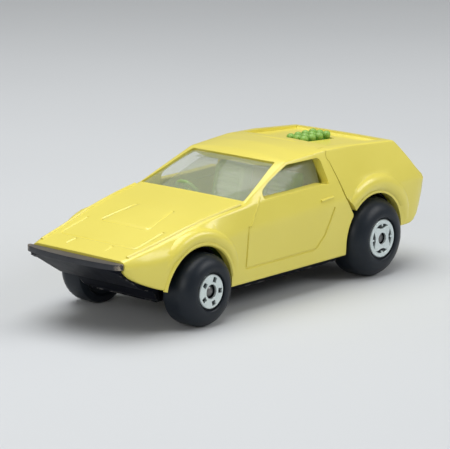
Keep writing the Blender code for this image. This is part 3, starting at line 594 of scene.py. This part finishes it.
def make_base():
    """Floor, chin, bumper and cradles of the black base casting."""
    half = [(7.1, -24.0), (7.2, -12.3), (10.9, -11.9), (10.9, 15.9), (6.6, 16.3), (6.5, 31.0)]
    base = prism("base_casting", mirrored(half), 3.9, 4.9, "Z")
    profile = [(-36.2, 12.15), (-35.9, 11.5), (-29.0, 7.1), (-26.2, 6.3), (-24.9, 4.6), (-23.8, 3.95),
               (-22.5, 3.95), (-22.5, 4.85), (-23.9, 5.2), (-25.3, 7.3), (-28.6, 8.5), (-32.3, 11.3),
               (-34.45, 11.35), (-34.45, 12.05)]
    plan = [(0.0, -36.25), (4.0, -36.1), (7.3, -35.75), (9.0, -35.35), (9.6, -35.0), (9.6, -34.4),
            (8.95, -34.2), (9.1, -29.0), (8.6, -26.2), (7.9, -24.3), (7.25, -23.4), (7.25, -20.0)]
    chin = keep(prism("chin", rounded(profile, 0.3, 3), -12.0, 12.0),
                prism("chin_plan", mirrored(plan), 0.0, 20.0, "Z"))
    valance = prism("valance", rounded([(29.5, 4.85), (29.5, 3.95), (31.4, 3.95), (34.6, 7.2), (34.9, 8.2),
                                        (34.0, 8.2), (31.0, 4.85)], 0.2, 2), -6.4, 6.4)
    pieces = [chin, valance]
    for _, y, axle_z, *_ in WHEELS:
        for side in (1, -1):
            low, high = span(side, 4.0, 5.6)
            post = block("cradle", (low, y - 2.0, 4.4), (high, y + 2.0, axle_z + 1.6), 0.15)
            pieces.append(cut(post, block("cradle_slot", (low - 1, y - 0.85, axle_z - 0.85),
                                          (high + 1, y + 0.85, 20.0))))
    for y, boss in zip(BOLTED_AT, (3.3, 2.8)):
        pieces.append(rod("boss", (0.0, y), boss, 4.4, 6.1, "Z", 40))
    for y, z, liner, wall in ((*FRONT_ARCH[:2], 7.0, 7.4), (*REAR_ARCH[:2], 7.75, 6.8)):
        for side in (1, -1):
            pieces.append(wheel_well(y, z, liner, side, wall))
    base = join(base, *pieces)
    pits = []
    for y, pocket, hole in zip(BOLTED_AT, (2.4, 2.2), (1.7, 1.5)):
        pits += [rod("rivet_pocket", (0.0, y), pocket, 0.0, 4.9, "Z", 48),
                 rod("post_hole", (0.0, y), hole, 0.0, 9.0, "Z", 40)]
    # Cast detail underneath: a shallow panel, and ribs along the sills
    pits.append(block("floor_panel", (-6.0, -7.0, 0.0), (6.0, 9.5, 4.15), 0.1))
    for side in (1, -1):
        for y in (-8.0, -3.0, 2.0, 7.0):
            low, high = span(side, 7.4, 9.9)
            pits.append(block("floor_slot", (low, y, 0.0), (high, y + 2.6, 4.2), 0.1))
    base = cut(base, *pits)
    ribs = [block("floor_rib", (-5.2, y, 4.0), (5.2, y + 0.5, 4.3), 0.06) for y in (-3.4, 1.0, 5.4)]
    return smooth(join(base, *ribs))


def make_bumper():
    """The blade along the nose: its plan given thickness, with rounded edges."""
    plan = [(-10.2, -34.4), (-10.35, -34.85), (-10.0, -35.35), (-9.2, -35.7), (-7.3, -36.1),
            (-4.0, -36.45), (0.0, -36.6)]
    front = plan + [(-x, y) for x, y in reversed(plan[:-1])]
    blade = prism("bumper_blade", rounded(front, 0.25, 3), 11.6, 12.5, "Z")
    return smooth(edged(blade, 0.36, 5), 45)


# ---- inside the car
def make_glazing():
    outer = WALL + 0.08
    inner = outer + 0.45
    glass = body_form("window_moulding", -9.3, 11.6, outer, outer)
    glass = cut(glass, body_form("glazing_hollow", -9.0, 14.0, inner, inner, True, 1.5))
    band = [(-9.0, 15.9), (-3.0, 16.5), (11.5, 16.6), (11.5, 30), (-9.0, 30)]
    glass = keep(glass, prism("glazing_band", band, -20, 20))
    # The windscreen is a raised panel of the moulding that nearly fills its opening
    pane = keep(body_form("windscreen_pane", -10.4, 5.0, 0.28, 0.28), windscreen_cutter(-0.2, "pane_edge"))
    pane = cut(pane, body_form("pane_hollow", -12.0, 14.0, outer + 0.2, outer + 0.2, True, 1.5))
    return smooth(join(glass, pane), 25)


def make_seat(side):
    """A bucket seat: rounded shell, its back crossed by ribs."""
    x = side * 5.5
    low, high = x - 3.2, x + 3.2
    outline = rounded([(0.5, 7.0), (0.9, 10.4), (5.6, 9.7), (8.2, 19.3), (9.2, 19.8), (10.0, 19.2),
                       (7.6, 7.0)], [0, 0.8, 0.9, 0.6, 0.5, 0.5, 0], 4)
    shell = edged(prism("seat", outline, low, high), 0.35, 3)
    extra = []
    for number in range(6):
        z = 11.0 + 1.45 * number
        y = 5.6 + (z - 9.7) * 2.6 / 9.6
        extra.append(rod("seat_rib", (y - 0.12, z), 0.48, low + 0.9, high - 0.9, "X", 20, bevel=0.1))
    for edge in (low + 0.45, high - 0.45):
        bolster = [(edge, 1.2, 10.5), (edge, 5.4, 9.9), (edge, 8.0, 19.0)]
        extra.append(tube("seat_bolster", bolster, 0.5, 12))
    for number in range(4):
        extra.append(rod("cushion_rib", (1.5 + 1.05 * number, 10.3 - 0.15 * number), 0.36, low + 0.9,
                         high - 0.9, "X", 20, bevel=0.1))
    return join(shell, *extra)


def make_steering_wheel():
    section = [(r, 0.0, z) for r, z in arc((2.3, 0.0), 0.32, 0, 360, 13)[:-1]]
    rim = spun("steering_wheel", section, (0, 0, 1), 48, (0, 0, 0), True)
    spokes = [tube("spoke", [(0, 0, -0.1), (2.25 * math.cos(a), 2.25 * math.sin(a), 0)], 0.26, 12)
              for a in np.radians((0, 180, 270))]
    hub = rod("steering_hub", (0.0, 0.0), 0.62, -0.45, 0.3, "Z", 24, bevel=0.15)
    column = rod("steering_column", (0.0, 0.0), 0.42, -4.2, -0.2, "Z", 20)
    wheel = join(rim, *spokes, hub, column)
    wheel.data.transform(Matrix.Translation((-5.4 * MM, -2.9 * MM, 16.4 * MM))
                         @ Matrix.Rotation(math.radians(-58), 4, "X"))
    return wheel


def make_interior():
    tub = block("interior_moulding", (-9.6, -8.4, 5.6), (9.6, 11.4, 7.2), 0.3, 3)
    outline = rounded([(-8.3, 6.8), (-8.3, 14.9), (-7.2, 15.3), (-5.2, 14.4), (-5.6, 11.5), (-6.6, 6.8)],
                      [0, 0.4, 0.5, 0.5, 0.4, 0], 4)
    dash = prism("dash", outline, -9.2, 9.2)
    tunnel = block("tunnel", (-1.4, -7.5, 6.8), (1.4, 9.0, 9.0), 0.5, 3)
    lever = tube("gear_lever", [(0.0, -1.5, 8.6), (0.0, -1.2, 10.6)], 0.28, 12)
    pod = rod("dial_pod", (-5.4, 14.6), 1.5, -7.0, -4.9, "Y", 32, bevel=0.3)
    return smooth(join(tub, dash, tunnel, lever, pod, make_steering_wheel(), make_seat(1), make_seat(-1)))


def make_engine():
    """The block on its feet, and the intake stacks that stand up through the deck."""
    motor = block("engine_moulding", (-5.2, 16.6, 9.4), (5.2, 28.5, 14.5), 0.4, 3)
    parts = [block("foot", (-4.6, 18.0, 5.2), (4.6, 19.6, 10.0), 0.2),
             block("foot", (-4.6, 27.4, 5.2), (4.6, 29.2, 10.0), 0.2),
             block("manifold", (-2.15, HOLE_Y[0] + 0.35, 14.0), (2.15, HOLE_Y[1] - 0.45, 22.1), 0.2)]
    for side in (1, -1):
        low, high = span(side, 4.9, 5.9)
        for number in range(4):
            y = 18.4 + 2.4 * number
            parts.append(rod("exhaust_port", (y, 12.6), 0.7, low, high, "X", 24, bevel=0.15))
            parts.append(rod("runner", (side * 2.1, STACK_FIRST_Y + STACK_STEP[1] * number), 0.55, 14.3, 19.6,
                             "Z", 20, bevel=0.12))
        parts.append(rod("cam_cover", (side * 3.5, 14.5), 1.15, 17.3, 27.8, "Y", 40, bevel=0.3))
        for number in range(7):
            y = 18.2 + 1.4 * number
            parts.append(rod("cover_rib", (side * 3.5, 14.5), 1.32, y, y + 0.4, "Y", 40))
    for level in (15.6, 18.4):
        parts.append(block("flange", (-2.6, HOLE_Y[0] + 0.1, level), (2.6, HOLE_Y[1] - 0.2, level + 0.5),
                           0.12))
    for x, z, radius in ((0.0, 11.2, 1.3), (-2.9, 12.6, 0.85), (2.9, 12.6, 0.85)):
        parts.append(rod("pulley", (x, z), radius, 16.1, 16.9, "Y", 36, bevel=0.12))
    parts.append(rod("gearbox", (0.0, 11.6), 2.1, 28.2, 31.2, "Y", 40, top_radius=1.5))
    half = [(0, 21.3), (0.6, 21.3), (0.52, 21.8), (0.42, 22.2), (0.58, 22.42), (0.7, 22.7), (0.73, 22.95),
            (0.68, 23.22), (0.52, 23.45), (0.28, 23.57), (0, 23.6)]
    profile = [(r, 0, z) for r, z in half]
    for row in range(4):
        for column in (-1, 0, 1):
            x, y = column * STACK_STEP[0], STACK_FIRST_Y + row * STACK_STEP[1]
            parts.append(spun("stack", profile, (0, 0, 1), 24, (x, y, 0), closed=False))
    return smooth(join(motor, *parts), 40)


# ---- wheels
def make_wheel(name, y, radius, width, round_r, foil_r, side):
    """Tyre and hub in one moulding, its outer side one long curve from the hub face to the tread."""
    outer = TYRE_OUTER_X
    inner = outer - width
    profile = [(inner, 0.68), (inner + 0.25, 1.5), (inner + 0.3, radius - 1.6), (inner, radius - 1.2),
               (inner + 0.05, radius - 0.6), (inner + 0.35, radius - 0.15), (inner + 0.9, radius)]
    profile += arc((outer - round_r, radius - round_r), round_r, 90, 4, 15)
    profile += [(outer - 0.04, foil_r + 0.5), (outer - 0.14, foil_r + 0.36), (outer - 0.55, foil_r + 0.3),
                (outer - 0.62, foil_r + 0.1), (outer - 0.62, 1.4), (outer - 1.0, 1.3), (outer - 1.05, 0.68)]
    return smooth(turned(name, profile, (y, radius), 128, side), 30)


def window_tool(name, y, z, outline, angle, low, high):
    """A flat piece of a hub face, from x low to high. outline is (radial, tangential) about the centre."""
    c, s = math.cos(angle), math.sin(angle)
    points = [(y + r * c - t * s, z + r * s + t * c) for r, t in outline]
    return prism(name, points, low, high)


def foil_ring(name, inner, lip, foil_r, centre, side):
    """A flat ring with both edges of its face eased."""
    back, shoulder, face = FOIL_X
    profile = [(back, inner), (back, foil_r), (shoulder, foil_r), (face, foil_r - 0.12), (face, lip),
               (14.26, inner)]
    return turned(name, profile, centre, 96, side)


def make_front_foil(name, y, radius, foil_r, side):
    """Bright disc with five square windows."""
    disc = foil_ring(name, 1.15, 1.22, foil_r, (y, radius), side)
    square = rounded(rectangle(1.55, -0.4, 2.36, 0.4), 0.06, 2)
    tools = [window_tool("hub_window", y, radius, square, math.radians(68 + 72 * n), *span(side, *HUB_CUT))
             for n in range(5)]
    return smooth(cut(disc, *tools), 30)


def make_rear_foil(name, y, radius, foil_r, side):
    """Bright ring with four teeth inwards, and a four-lobed centre whose lobes run out to the ring."""
    outer = foil_ring(name, 2.5, 2.58, foil_r, (y, radius), side)
    lobes, steps = [], 96
    waist, lobe = 1.72, 0.85
    for n in range(steps):
        a = 2 * math.pi * n / steps
        reach = waist + lobe * abs(math.cos(2 * (a - math.pi / 4))) ** 3
        lobes.append((y + reach * math.cos(a), radius + reach * math.sin(a)))
    low, high = span(side, 13.95, 14.3)
    centre = prism("hub_centre", lobes, low, high)
    centre = cut(centre, rod("hub_hole", (y, radius), 1.0, *span(side, *HUB_CUT), "X", 48))
    tooth = rounded([(2.1, -0.13), (2.65, -0.22), (2.65, 0.22), (2.1, 0.13)], 0.1, 2)
    teeth = [window_tool("hub_tooth", y, radius, tooth, math.radians(90 * n), low, high) for n in range(4)]
    return smooth(join(outer, centre, *teeth), 30)


def make_axle(name, y, z):
    """Drawn wire with a small domed head at each end, sunk in the wheels' hubs."""
    head = [(13.5, 0.6), (13.52, 0.84), (13.7, 0.85), (13.85, 0.76), (13.96, 0.55), (14.02, 0.28),
            (14.04, 0.0)]
    profile = [(-x, r) for x, r in reversed(head)] + head
    return smooth(turned(name, profile, (y, z), 48, closed=False), 40)


def make_strip(name, y, axle_z, top):
    """A bowed spring strip over an axle, its ends under the body and its middle just above the wire."""
    bottom, thickness, reach = axle_z + 0.66, 0.3, 3.3
    lower = [(reach * s, bottom + (top - thickness - bottom) * s * s) for s in np.linspace(-1.0, 1.0, 25)]
    upper = [(x, z + thickness) for x, z in reversed(lower)]
    strip = prism(name, lower + upper, -1.0, 1.0, "Z")
    strip.data.transform(Matrix(((1, 0, 0, 0), (0, 0, -1, y * MM), (0, 1, 0, 0), (0, 0, 0, 1))))
    return smooth(strip, 40)


# ---- materials
def new_material(name):
    made = bpy.data.materials.new(name)
    made.use_nodes = True
    return made, made.node_tree, made.node_tree.nodes["Principled BSDF"]


def put(node, values):
    """Set a node's own sockets by name."""
    for socket, value in values.items():
        node.inputs[socket].default_value = value


def noise(tree, scale, detail, roughness=0.5):
    where = tree.nodes.new("ShaderNodeTexCoord")
    made = tree.nodes.new("ShaderNodeTexNoise")
    put(made, {"Scale": scale, "Detail": detail, "Roughness": roughness})
    tree.links.new(where.outputs["Object"], made.inputs["Vector"])
    return made.outputs["Fac"]


def ramp(tree, source, stops):
    made = tree.nodes.new("ShaderNodeValToRGB")
    elements = made.color_ramp.elements
    while len(elements) < len(stops):
        elements.new(0.5)
    for element, (place, colour) in zip(elements, stops):
        element.position = place
        element.color = (*colour, 1.0)
    tree.links.new(source, made.inputs["Fac"])
    return made.outputs["Color"]


def scaled(tree, source, low, high, from_low=0.0, from_high=1.0):
    made = tree.nodes.new("ShaderNodeMapRange")
    put(made, {"From Min": from_low, "From Max": from_high, "To Min": low, "To Max": high})
    tree.links.new(source, made.inputs["Value"])
    return made.outputs["Result"]


def mixed(tree, factor, a, b):
    made = tree.nodes.new("ShaderNodeMix")
    made.data_type = "RGBA"
    tree.links.new(factor, made.inputs["Factor"])
    for socket, value in ((made.inputs[6], a), (made.inputs[7], b)):
        if hasattr(value, "links"):
            tree.links.new(value, socket)
        else:
            socket.default_value = (*value, 1.0)
    return made.outputs[2]


def soft_normal(tree, radius):
    """Normals as if every edge were rounded to this radius."""
    made = tree.nodes.new("ShaderNodeBevel")
    made.samples = 6
    put(made, {"Radius": radius * MM})
    return made.outputs["Normal"]


def bumped(tree, shader, height, strength, distance, edge=None):
    """Surface relief from a height, over normals rounded at the edges."""
    made = tree.nodes.new("ShaderNodeBump")
    put(made, {"Strength": strength, "Distance": distance * MM})
    tree.links.new(height, made.inputs["Height"])
    if edge:
        tree.links.new(soft_normal(tree, edge), made.inputs["Normal"])
    tree.links.new(made.outputs["Normal"], shader.inputs["Normal"])


def edge_mask(tree, radius, low, high):
    """How sharply the surface turns here: 0 on flat ground, 1 on a worn corner."""
    plain = tree.nodes.new("ShaderNodeNewGeometry")
    dot = tree.nodes.new("ShaderNodeVectorMath")
    dot.operation = "DOT_PRODUCT"
    tree.links.new(soft_normal(tree, radius), dot.inputs[0])
    tree.links.new(plain.outputs["Normal"], dot.inputs[1])
    return scaled(tree, dot.outputs["Value"], 0.0, 1.0, low, high)


def rough(tree, shader, scale, low, high, detail=4.0):
    """Roughness that drifts between low and high over a noise of this scale."""
    tree.links.new(scaled(tree, noise(tree, scale, detail), low, high), shader.inputs["Roughness"])


def toned(tree, shader, source, dark, light, top=0.7):
    """Base colour that drifts between two tones with the source."""
    tree.links.new(ramp(tree, source, ((0.3, dark), (top, light))), shader.inputs["Base Color"])


def maths(tree, operation, *sources):
    made = tree.nodes.new("ShaderNodeMath")
    made.operation = operation
    for socket, source in zip(made.inputs, sources):
        tree.links.new(source, socket)
    return made.outputs["Value"]


def axes(tree, vector):
    made = tree.nodes.new("ShaderNodeSeparateXYZ")
    tree.links.new(vector, made.inputs["Vector"])
    return made.outputs


def paint_material():
    """Thick pale lemon enamel over a casting: faint orange peel, rounded edges and a few specks."""
    made, tree, shader = new_material("lemon_enamel")
    broad = noise(tree, 45.0, 3.0)
    tone = ramp(tree, broad, ((0.3, (0.78, 0.675, 0.095)), (0.7, (0.825, 0.72, 0.12))))
    speck = noise(tree, 900.0, 1.0)
    specks = ramp(tree, speck, ((0.83, (0, 0, 0)), (0.86, (1, 1, 1))))
    tree.links.new(mixed(tree, specks, tone, (0.30, 0.22, 0.06)), shader.inputs["Base Color"])
    peel = noise(tree, 1400.0, 3.0, 0.55)
    rough(tree, shader, 260.0, 0.27, 0.38)
    put(shader, {"Specular IOR Level": 0.5, "Coat Weight": 0.35, "Coat Roughness": 0.14})
    bumped(tree, shader, peel, 0.22, 0.05, edge=0.13)
    return made


def base_material():
    """Semi-gloss black enamel on a casting, rubbed to bare metal on its proudest corners."""
    made, tree, shader = new_material("black_enamel")
    tone = ramp(tree, noise(tree, 300.0, 5.0, 0.6),
                ((0.3, (0.006, 0.007, 0.011)), (0.75, (0.012, 0.014, 0.020))))
    corner = edge_mask(tree, 0.35, 0.985, 0.80)
    rough_patch = ramp(tree, noise(tree, 700.0, 5.0, 0.65), ((0.50, (0, 0, 0)), (0.62, (1, 1, 1))))
    worn = maths(tree, "MULTIPLY", corner, rough_patch)
    tree.links.new(mixed(tree, worn, tone, (0.30, 0.29, 0.28)), shader.inputs["Base Color"])
    tree.links.new(worn, shader.inputs["Metallic"])
    rough(tree, shader, 500.0, 0.30, 0.46)
    put(shader, {"Specular IOR Level": 0.12, "IOR": 1.2})
    bumped(tree, shader, noise(tree, 900.0, 4.0, 0.6), 0.3, 0.06, edge=0.22)
    return made


def bumper_material():
    """The same enamel: its upward faces painted a lighter brownish grey, partly painted sheen from above and
    partly dust, and its ends chipped.
    """
    made, tree, shader = new_material("chipped_black_enamel_top_sheen")
    facing = axes(tree, tree.nodes.new("ShaderNodeNewGeometry").outputs["Normal"])
    # Upward-facing faces get the lighter brownish grey: painted sheen from the light above, mixed with some
    # dust
    up = scaled(tree, facing["Z"], 0.0, 1.0, 0.6, 0.98)
    rub = noise(tree, 420.0, 5.0, 0.65)
    dust_and_sheen_tone = ramp(tree, rub, ((0.25, (0.055, 0.050, 0.046)), (0.75, (0.105, 0.095, 0.085))))
    dark = ramp(tree, rub, ((0.3, (0.012, 0.014, 0.020)), (0.8, (0.026, 0.028, 0.034))))
    tone = mixed(tree, up, dark, dust_and_sheen_tone)
    place = axes(tree, tree.nodes.new("ShaderNodeTexCoord").outputs["Object"])
    end = scaled(tree, maths(tree, "ABSOLUTE", place["X"]), 0.0, 1.0, 9.1 * MM, 10.2 * MM)
    chips = ramp(tree, noise(tree, 1300.0, 5.0, 0.7), ((0.46, (0, 0, 0)), (0.52, (1, 1, 1))))
    bare = maths(tree, "MULTIPLY", end, chips)
    tree.links.new(mixed(tree, bare, tone, (0.42, 0.36, 0.28)), shader.inputs["Base Color"])
    tree.links.new(bare, shader.inputs["Metallic"])
    tree.links.new(scaled(tree, rub, 0.30, 0.50), shader.inputs["Roughness"])
    bumped(tree, shader, rub, 0.35, 0.05, edge=0.2)
    return made


def tyre_material():
    """Moulded blue-black plastic with a fine satin grain."""
    made, tree, shader = new_material("wheel_plastic")
    toned(tree, shader, noise(tree, 220.0, 4.0, 0.6), (0.0065, 0.0105, 0.0165), (0.010, 0.0155, 0.0235), 0.75)
    rough(tree, shader, 600.0, 0.34, 0.46)
    put(shader, {"Specular IOR Level": 0.3})
    bumped(tree, shader, noise(tree, 2200.0, 3.0, 0.6), 0.25, 0.03, edge=0.12)
    return made


def foil_material():
    """Hot-stamped bright foil, a little cloudy and dimpled."""
    made, tree, shader = new_material("hub_foil")
    toned(tree, shader, noise(tree, 350.0, 4.0, 0.6), (0.60, 0.68, 0.68), (0.72, 0.80, 0.80))
    put(shader, {"Metallic": 0.55})
    rough(tree, shader, 900.0, 0.24, 0.42)
    bumped(tree, shader, noise(tree, 1500.0, 3.0), 0.3, 0.03, edge=0.06)
    return made


def steel_material():
    """Drawn wire with fine scratches round it and dull oxide patches."""
    made, tree, shader = new_material("drawn_steel")
    toned(tree, shader, noise(tree, 500.0, 5.0, 0.6), (0.13, 0.13, 0.135), (0.24, 0.24, 0.24))
    put(shader, {"Metallic": 1.0})
    rough(tree, shader, 1200.0, 0.28, 0.5)
    bumped(tree, shader, noise(tree, 3000.0, 3.0), 0.3, 0.02)
    return made


def green_material():
    """Moulded grass-green plastic, slightly translucent, with a soft moulded skin."""
    made, tree, shader = new_material("green_plastic")
    toned(tree, shader, noise(tree, 160.0, 4.0), (0.22, 0.42, 0.07), (0.27, 0.49, 0.095))
    put(shader, {"Subsurface Weight": 0.15, "Subsurface Radius": (0.5, 1.0, 0.3),
                 "Subsurface Scale": 0.0006})
    rough(tree, shader, 500.0, 0.28, 0.42)
    bumped(tree, shader, noise(tree, 1800.0, 3.0), 0.2, 0.03, edge=0.15)
    return made


def glass_material():
    """Thin clear moulding with a faint smoky tint and fine swirl marks."""
    made, tree, shader = new_material("clear_plastic")
    toned(tree, shader, noise(tree, 120.0, 3.0), (0.58, 0.63, 0.45), (0.64, 0.69, 0.51))
    put(shader, {"Alpha": 0.27, "IOR": 1.6})
    rough(tree, shader, 700.0, 0.03, 0.09, 5.0)
    bumped(tree, shader, noise(tree, 400.0, 2.0), 0.08, 0.04)
    return made


def floor_material():
    made, tree, shader = new_material("pale_floor")
    toned(tree, shader, noise(tree, 6.0, 2.0), (0.56, 0.58, 0.60), (0.59, 0.61, 0.63))
    put(shader, {"Roughness": 0.85})
    return made


# ---- put it together
def fit(obj, body, material, slot, *nodes):
    obj.data.transform(Matrix.Translation((0.0, SHIFT_Y * MM, 0.0)))
    obj.data.materials.clear()
    obj.data.materials.append(material)
    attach(obj, body)
    if nodes:
        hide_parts(*nodes)
    return obj


paint, black, rubbed = paint_material(), base_material(), bumper_material()
tyre, foil, steel = tyre_material(), foil_material(), steel_material()
green, glass = green_material(), glass_material()

fit(make_body_shell(), "chassis", paint, "body_paint", "body_shell")
fit(make_rear_cowl(), "cowl", paint, "body_paint", "rear_cowl")
fit(make_base(), "chassis", black, "base_black", "base_plate")
fit(make_bumper(), "chassis", rubbed, "base_black")
fit(make_glazing(), "chassis", glass, "glazing", "window_glazing")
fit(make_interior(), "chassis", green, "interior_green", "interior")
fit(make_engine(), "chassis", green, "interior_green", "engine")
for end, axle_y, tyre_r, width, round_r, foil_r in WHEELS:
    make_foil = make_front_foil if end == "front" else make_rear_foil
    for side, label in ((1, "left"), (-1, "right")):
        body = f"{end}_{label}"
        fit(make_wheel(body + "_tyre", axle_y, tyre_r, width, round_r, foil_r, side), body, tyre,
            "wheel_black", body + "_wheel")
        fit(make_foil(body + "_foil", axle_y, tyre_r, foil_r, side), body, foil, "hub_foil",
            body + "_hub_foil")
for end, axle_y, tyre_r, *_ in WHEELS:
    fit(make_axle(end + "_wire", axle_y, tyre_r), end + "_axle_set", steel, "axle_steel", end + "_axle")
    strip_top = tyre_r + STRIP_ABOVE_AXLE
    strip = fit(make_strip(end + "_spring", axle_y, tyre_r, strip_top), "chassis", steel, "axle_steel",
                end + "_suspension_strip")
    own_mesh(strip)
pin = frame["nodes"]["cowl_hinge_pin"].data
pin.materials.clear()
pin.materials.append(steel)

# ---- floor, light and camera, in metres
LIT_POINT = Vector((0, 0, 0.01))
CAMERA_PLACE = Vector((269.22, -301.77, 105.61)) * MM
CAMERA_TOWARDS = Vector((-0.64878, 0.72614, -0.22763))
CAMERA_LENS = 200.84

bpy.ops.mesh.primitive_plane_add(size=4.0, location=(0, 0, 0))
floor = bpy.context.object
floor.name = "studio_floor"
floor.data.materials.append(floor_material())


def area_light(name, place, size, power, colour=(1, 1, 1)):
    lamp = bpy.data.lights.new(name, "AREA")
    lamp.shape = "RECTANGLE"
    lamp.size, lamp.size_y = size
    lamp.energy = power
    lamp.color = colour
    obj = placed(name, lamp)
    obj.location = place
    obj.rotation_euler = (LIT_POINT - Vector(place)).to_track_quat("-Z", "Y").to_euler()


area_light("overhead_softbox", (-0.05, -0.02, 0.42), (0.45, 0.40), 1.85)
area_light("front_fill", (0.10, -0.48, 0.22), (0.30, 0.20), 0.55, (1.0, 0.98, 0.95))
area_light("side_fill", (0.38, 0.26, 0.30), (0.30, 0.20), 0.95)

bpy.context.scene.view_settings.view_transform = "Standard"
world = bpy.data.worlds.new("studio")
bpy.context.scene.world = world
world.use_nodes = True
sky = world.node_tree.nodes["Background"]
put(sky, {"Color": (0.92, 0.92, 0.90, 1.0), "Strength": 0.26})

camera_data = bpy.data.cameras.new("camera")
camera_data.lens = CAMERA_LENS
camera_data.sensor_width = 36.0
camera_data.clip_start = 0.01
camera = placed("camera", camera_data)
camera.location = CAMERA_PLACE
camera.rotation_euler = CAMERA_TOWARDS.to_track_quat("-Z", "Y").to_euler()
bpy.context.scene.camera = camera
